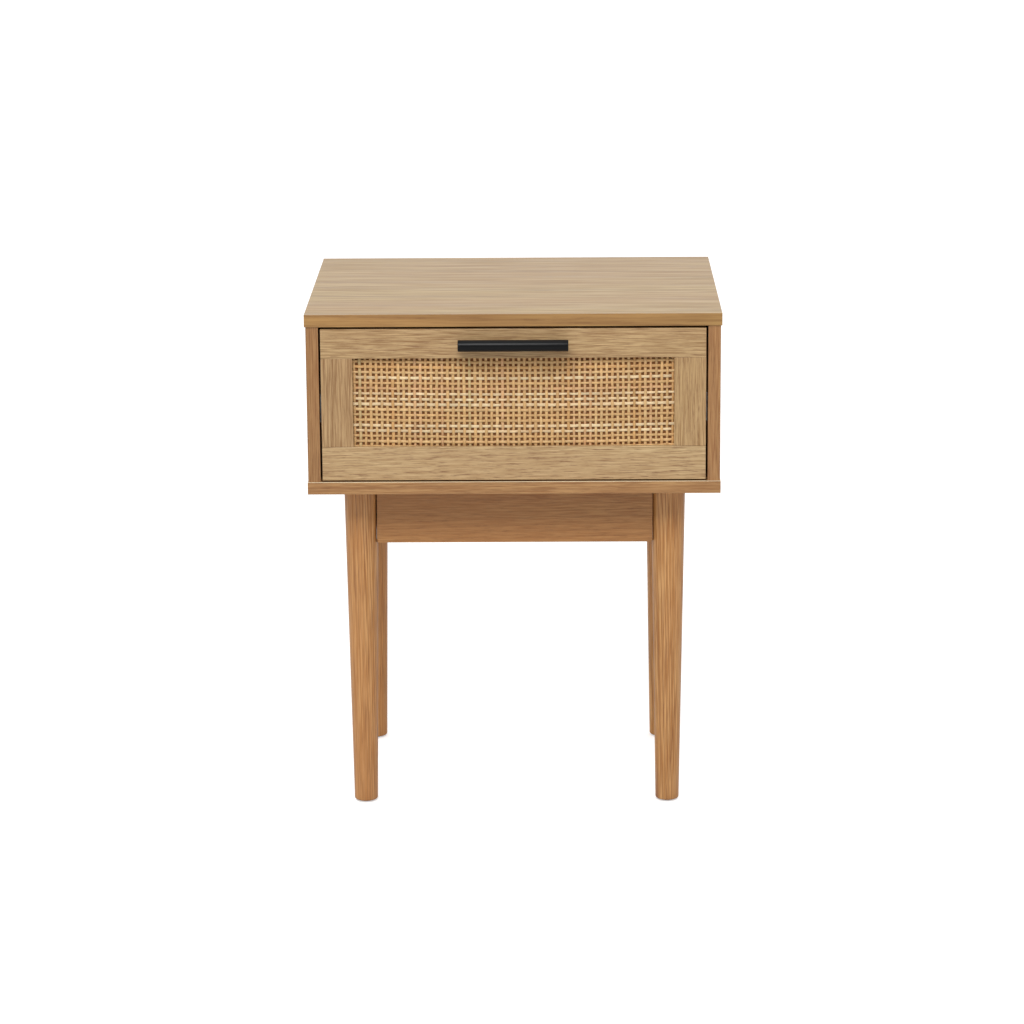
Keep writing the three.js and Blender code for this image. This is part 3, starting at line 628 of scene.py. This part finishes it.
def smooth_between(values, place):
    low = int(min(max(math.floor(place), 0), len(values) - 2))
    share = min(max(place - low, 0.0), 1.0)
    share = share * share * (3 - 2 * share)
    return values[low] * (1 - share) + values[low + 1] * share


def weave(name, count, crossings, reach, line_of, cross_of, over, axis, centre_y, draw, tints):
    """All the strands that run one way, along the given axis from reach[0] to reach[1].
    line_of(i, along) is a strand's place across its run, and cross_of(i, along) is the number of
    strands that it has crossed so far."""
    section = strand_section()
    vertices, faces, colours = [], [], []
    ring_count = int(crossings * RINGS_PER_CROSSING)
    for i in range(count):
        drift = [draw.gauss(0.0, STRAND_DRIFT) for _ in range(crossings + 3)]
        widths = [draw.gauss(1.0, 0.07) for _ in range(crossings + 3)]
        base_width = STRAND_HALF_WIDTH * draw.uniform(0.88, 1.10)
        tint = np.array(tints[i][:3])
        shades = [draw.gauss(1.0, 0.04) for _ in range(crossings + 3)]
        slow = [draw.gauss(1.0, 0.09) for _ in range(crossings // SLOW_STEP + 3)]
        tilt = draw.uniform(-STRAND_TILT, STRAND_TILT)
        first = len(vertices)
        for k in range(ring_count + 1):
            along = reach[0] + (reach[1] - reach[0]) * k / ring_count
            cross = cross_of(i, along)
            swing = WEAVE_SWING * math.cos(math.pi * cross) * over * (-1) ** i
            side = line_of(i, along) + smooth_between(drift, cross + 1)
            half = base_width * smooth_between(widths, cross + 1)
            shade = smooth_between(shades, cross + 1)
            shade *= smooth_between(slow, (cross + 1) / SLOW_STEP)
            for width, thickness in section:
                offset = width * half
                depth = thickness * STRAND_HALF_THICKNESS + tilt * offset
                y = centre_y - swing - depth
                point = (side + offset, y, along) if axis == 2 else (along, y, side + offset)
                vertices.append(point)
                colours.append((*(tint * shade), 1.0))
        for k in range(ring_count):
            for m in range(STRAND_SIDES):
                n = (m + 1) % STRAND_SIDES
                a, b = first + k * STRAND_SIDES, first + (k + 1) * STRAND_SIDES
                face = (a + m, a + n, b + n, b + m)
                faces.append(face if axis == 2 else face[::-1])
        begin = tuple(range(first, first + STRAND_SIDES))
        finish = tuple(range(len(vertices) - STRAND_SIDES, len(vertices)))
        faces.append(begin[::-1] if axis == 2 else begin)
        faces.append(finish if axis == 2 else finish[::-1])
    mesh = mesh_from(name, vertices, faces)
    tint_layer = mesh.attributes.new("strand_tint", "FLOAT_COLOR", "POINT")
    tint_layer.data.foreach_set("color", np.array(colours, np.float32).ravel())
    return mesh


def add_webbing():
    low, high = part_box("rattan_webbing")
    centre = (low + high) / 2
    half_width = (high.x - low.x) / 2
    draw = random.Random(7)
    bag = [tint for tint, weight in CANE_TINTS for _ in range(weight)]
    warp_tints = [draw.choice(bag) for _ in range(WARP_COUNT)]
    weft_tints = [draw.choice(bag) for _ in range(WEFT_COUNT)]
    for row in PALE_WEFTS:
        weft_tints[WEFT_COUNT - 1 - row] = PALE_TINT

    def sag(x):
        return WEFT_SAG * (((x - centre.x) / half_width) ** 2 - 0.5)

    def warp_x(i):
        return centre.x + (i - (WARP_COUNT - 1) / 2) * PITCH_X

    def weft_z(i, x):
        return centre.z + (i - (WEFT_COUNT - 1) / 2) * PITCH_Z + sag(x)

    warp = weave(
        "cane_warp", WARP_COUNT, WEFT_COUNT, (low.z + STRAND_MARGIN, high.z - STRAND_MARGIN),
        lambda i, z: warp_x(i), lambda i, z: (z - weft_z(0, warp_x(i))) / PITCH_Z,
        1, 2, centre.y, draw, warp_tints,
    )
    weft = weave(
        "cane_weft", WEFT_COUNT, WARP_COUNT, (low.x + STRAND_MARGIN, high.x - STRAND_MARGIN),
        weft_z, lambda i, x: (x - warp_x(0)) / PITCH_X,
        -1, 0, centre.y, draw, weft_tints,
    )
    for mesh, grain in ((warp, 2), (weft, 0)):
        skin = cane(mesh.name + "_skin", grain)
        piece = add_piece(mesh.name, mesh, "drawer", skin)
        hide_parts("rattan_webbing")


# ------------------------------------------------------------------ handle and fittings

HANDLE_RIM = 0.8 * MM
HANDLE_RIM_STEPS = 5
HANDLE_TURN = 72  # points round the bar
HANDLE_SHEEN = 0.18
SCREW_RADIUS = 3.4 * MM
SCREW_CROWN = 1.3 * MM
SCREW_TURN = 24
SCREW_STEPS = 6
# the outline of a screw head, as shares of its radius, and of its crown for the recess floor
SCREW_SHOULDER = 0.55
RECESS_MOUTH = 0.42
RECESS_FLOOR = [(0.30, 0.45), (0.02, 0.40)]
SLIDE_SHEET = 1.2 * MM
SLIDE_SCREWS = (0.12, 0.5, 0.88)  # places along a slide, as shares of its length
BRACKET_SHEET = 2.0 * MM
BRACKET_INSET = 9.0 * MM  # a screw from the free edge of its flange
BRACKET_SCREWS = (0.25, 0.75)  # heights on a flange, as shares of its own


def lathe(name, profile, turn, place, sides=48):
    """A mesh turned about the local z axis from (radius, height) points, closed at both ends."""
    vertices, faces = [], []
    for radius, height in profile:
        for k in range(sides):
            angle = 2 * math.pi * k / sides
            local = Vector((radius * math.cos(angle), radius * math.sin(angle), height))
            vertices.append(turn @ local + place)
    for ring in range(len(profile) - 1):
        for k in range(sides):
            n = (k + 1) % sides
            a, b = ring * sides, (ring + 1) * sides
            faces.append((a + k, a + n, b + n, b + k))
    faces.append(tuple(reversed(range(sides))))
    faces.append(tuple(range(len(vertices) - sides, len(vertices))))
    mesh = mesh_from(name, vertices, faces)
    mesh.set_sharp_from_angle(angle=math.radians(50))
    return mesh


def add_handle():
    low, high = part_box("handle_bar")
    centre = (low + high) / 2
    half, radius = (high.x - low.x) / 2, (high.z - low.z) / 2
    start = []
    for step in range(HANDLE_RIM_STEPS + 1):
        angle = math.pi / 2 * step / HANDLE_RIM_STEPS
        inset, rise = HANDLE_RIM * (1 - math.sin(angle)), HANDLE_RIM * (1 - math.cos(angle))
        start.append((radius - inset, rise - half))
    end = [(r, -h) for r, h in reversed(start)]
    black = mottled(
        "black_powder_coat", rgb(17, 17, 18), rgb(13, 13, 14), 260.0, (0.28, 0.36), 0.2,
        specular_ior_level=HANDLE_SHEEN,
    )
    turn = Matrix.Rotation(math.pi / 2, 3, "Y")
    mesh = lathe("handle_bar_turned", start + end, turn, centre, HANDLE_TURN)
    bar = add_piece("handle_bar_turned", mesh, "drawer", black)
    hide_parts("handle_bar")
    for side in SIDES:
        dress(f"{side}_handle_post", black, FINE_EDGE)


def crowned_head(radius, crown):
    """The outline of a low screw head with a round rim and a driver recess in its top."""
    shoulder = SCREW_SHOULDER * radius
    outline = [(radius, 0.0)]
    for step in range(SCREW_STEPS + 1):
        angle = math.pi / 2 * step / SCREW_STEPS
        outline.append((shoulder + (radius - shoulder) * math.cos(angle), crown * math.sin(angle)))
    outline.append((RECESS_MOUTH * radius, crown))
    outline += [(across * radius, up * crown) for across, up in RECESS_FLOOR]
    return outline


def add_screws(name, body, places, material):
    """One piece that holds several screw heads, each given as its seat and its outward axis."""
    outline = crowned_head(SCREW_RADIUS, SCREW_CROWN)
    vertices, faces = [], []
    for seat, axis in places:
        turn = Vector((0.0, 0.0, 1.0)).rotation_difference(Vector(axis)).to_matrix()
        head = lathe(name + "_one", outline, turn, Vector(seat), SCREW_TURN)
        first = len(vertices)
        vertices += [tuple(v.co) for v in head.vertices]
        faces += [tuple(first + k for k in face.vertices) for face in head.polygons]
        bpy.data.meshes.remove(head)
    mesh = mesh_from(name, vertices, faces)
    mesh.set_sharp_from_angle(angle=math.radians(40))
    add_piece(name, mesh, body, material)


def add_slide_screws(material):
    for side, inward in (("left", 1.0), ("right", -1.0)):
        low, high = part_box(f"{side}_drawer_slide_rail")
        web = (high.x if side == "left" else low.x) - inward * SLIDE_SHEET
        height, length = (low.z + high.z) / 2, high.y - low.y
        seats = [(web, low.y + share * length, height) for share in SLIDE_SCREWS]
        places = [(seat, (-inward, 0.0, 0.0)) for seat in seats]
        add_screws(f"{side}_drawer_slide_screws", "drawer", places, material)


def add_bracket_screws(material):
    for end, side in CORNERS:
        low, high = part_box(f"{end}_{side}_corner_bracket")
        inward_x = 1.0 if side == "left" else -1.0
        inward_y = 1.0 if end == "front" else -1.0
        tip_x = high.x if side == "left" else low.x
        tip_y = high.y if end == "front" else low.y
        face_x = (low.x if side == "left" else high.x) + inward_x * BRACKET_SHEET
        face_y = (low.y if end == "front" else high.y) + inward_y * BRACKET_SHEET
        places = []
        for rise in BRACKET_SCREWS:
            height = low.z + rise * (high.z - low.z)
            places.append(((tip_x - inward_x * BRACKET_INSET, face_y, height), (0, inward_y, 0)))
            places.append(((face_x, tip_y - inward_y * BRACKET_INSET, height), (inward_x, 0, 0)))
        add_screws(f"{end}_{side}_bracket_screws", "cabinet", places, material)


def dress_fittings():
    along_y = drawn_metal("zinc_sheet", rgb(170, 172, 175), (0.28, 0.40), 1)
    turned = drawn_metal("zinc_turned", rgb(184, 186, 190), (0.26, 0.38), 2)
    bracket = drawn_metal("zinc_bracket", rgb(196, 192, 178), (0.28, 0.42), 2)
    plastic = mottled("glide_plastic", rgb(52, 50, 48), rgb(42, 41, 40), 300.0, (0.5, 0.65), 0.1)
    for side in SIDES:
        dress(f"{side}_cabinet_slide_rail", along_y, FINE_EDGE)
        dress(f"{side}_drawer_slide_rail", along_y, FINE_EDGE)
        dress(f"{side}_ball_retainer", along_y, CAGE_EDGE, 1)
        dress(f"{side}_handle_screw", turned, FINE_EDGE)
    for end, side in CORNERS:
        dress(f"{end}_{side}_corner_bracket", bracket, SHEET_EDGE)
        dress(f"{end}_{side}_leg_bolt", turned, SHEET_EDGE)
        dress(f"{end}_{side}_cam_lock", turned, FINE_EDGE)
        dress(f"{end}_{side}_cam_bolt", turned, FINE_EDGE)
        dress(f"{end}_{side}_case_screw", turned, FINE_EDGE)
        dress(f"{end}_{side}_glide", plastic, FINE_EDGE)
    add_slide_screws(turned)
    add_bracket_screws(turned)


dress_case()
dress_drawer()
for number, (end, side) in enumerate(CORNERS):
    add_leg(end, side, number)
add_webbing()
add_handle()
dress_fittings()

# ------------------------------------------------------------------ studio

FLOOR_REACH = 40.0
FLOOR_SEEN = (0.88, 0.88, 0.88, 1.0)
FLOOR_BOUNCE = (0.62, 0.62, 0.62, 1.0)
FLOOR_GLOW = 0.45
FLOOR_ROUGHNESS = 0.9
WHITE = (1.0, 1.0, 1.0, 1.0)
FRONT_WORLD = 0.38
SIDE_WORLD = 0.78
BACK_WORLD = 1.30
KEY_PLACE = (-0.3, -2.3, 2.7)
KEY_AIM = (0.0, 0.0, 0.4)
KEY_SIZE = (1.5, 1.0)
KEY_WATTS = 54.0


def make_floor():
    signs = ((-1, -1), (1, -1), (1, 1), (-1, 1))
    corners = [(x * FLOOR_REACH, y * FLOOR_REACH, 0) for x, y in signs]
    mesh = mesh_from("floor", corners, [(0, 1, 2, 3)], smooth=False)
    floor = bpy.data.objects.new("floor", mesh)
    bpy.context.scene.collection.objects.link(floor)
    s = Shader("floor")
    seen = s.add("ShaderNodeLightPath").outputs["Is Camera Ray"]
    shader = s.add("ShaderNodeBsdfPrincipled")
    s.feed(shader.inputs["Base Color"], s.mix(seen, FLOOR_BOUNCE, FLOOR_SEEN))
    shader.inputs["Roughness"].default_value = FLOOR_ROUGHNESS
    shader.inputs["Emission Color"].default_value = WHITE
    s.feed(shader.inputs["Emission Strength"], s.math("MULTIPLY", seen, FLOOR_GLOW))
    output = s.add("ShaderNodeOutputMaterial")
    s.tree.links.new(shader.outputs[0], output.inputs[0])
    mesh.materials.append(s.material)


def make_world():
    """White all round, and dimmer from the front, where the camera stands in a darker room."""
    world = bpy.data.worlds.new("studio")
    world.use_nodes = True
    tree = world.node_tree
    tree.nodes.clear()
    place = tree.nodes.new("ShaderNodeTexCoord")
    parts = tree.nodes.new("ShaderNodeSeparateXYZ")
    tree.links.new(place.outputs["Generated"], parts.inputs[0])
    share = tree.nodes.new("ShaderNodeMath")
    share.operation = "MULTIPLY_ADD"
    share.inputs[1].default_value = share.inputs[2].default_value = 0.5
    tree.links.new(parts.outputs[1], share.inputs[0])
    ramp = tree.nodes.new("ShaderNodeValToRGB")
    stops = ramp.color_ramp.elements
    stops.new(0.5)
    for stop, brightness in zip(stops, (FRONT_WORLD, SIDE_WORLD, BACK_WORLD)):
        stop.color = (*(brightness / BACK_WORLD,) * 3, 1.0)
    tree.links.new(share.outputs[0], ramp.inputs[0])
    level = tree.nodes.new("ShaderNodeMath")
    level.operation = "MULTIPLY"
    level.inputs[1].default_value = BACK_WORLD
    tree.links.new(ramp.outputs[0], level.inputs[0])
    rays = tree.nodes.new("ShaderNodeLightPath")
    strength = tree.nodes.new("ShaderNodeMix")
    tree.links.new(rays.outputs["Is Camera Ray"], strength.inputs[0])
    tree.links.new(level.outputs[0], strength.inputs[2])
    strength.inputs[3].default_value = 1.0
    background = tree.nodes.new("ShaderNodeBackground")
    background.inputs[0].default_value = WHITE
    tree.links.new(strength.outputs[0], background.inputs[1])
    output = tree.nodes.new("ShaderNodeOutputWorld")
    tree.links.new(background.outputs[0], output.inputs[0])
    bpy.context.scene.world = world


def make_light(name, place, aim, size, watts):
    data = bpy.data.lights.new(name, "AREA")
    data.shape = "RECTANGLE"
    data.size, data.size_y = size
    data.energy = watts
    light = bpy.data.objects.new(name, data)
    bpy.context.scene.collection.objects.link(light)
    light.location = place
    light.rotation_mode = "QUATERNION"
    light.rotation_quaternion = (Vector(aim) - Vector(place)).to_track_quat("-Z", "Y")


make_floor()
make_world()
make_light("key", KEY_PLACE, KEY_AIM, KEY_SIZE, KEY_WATTS)
scene = bpy.context.scene
scene.view_settings.view_transform = "Standard"
scene.view_settings.look = "None"
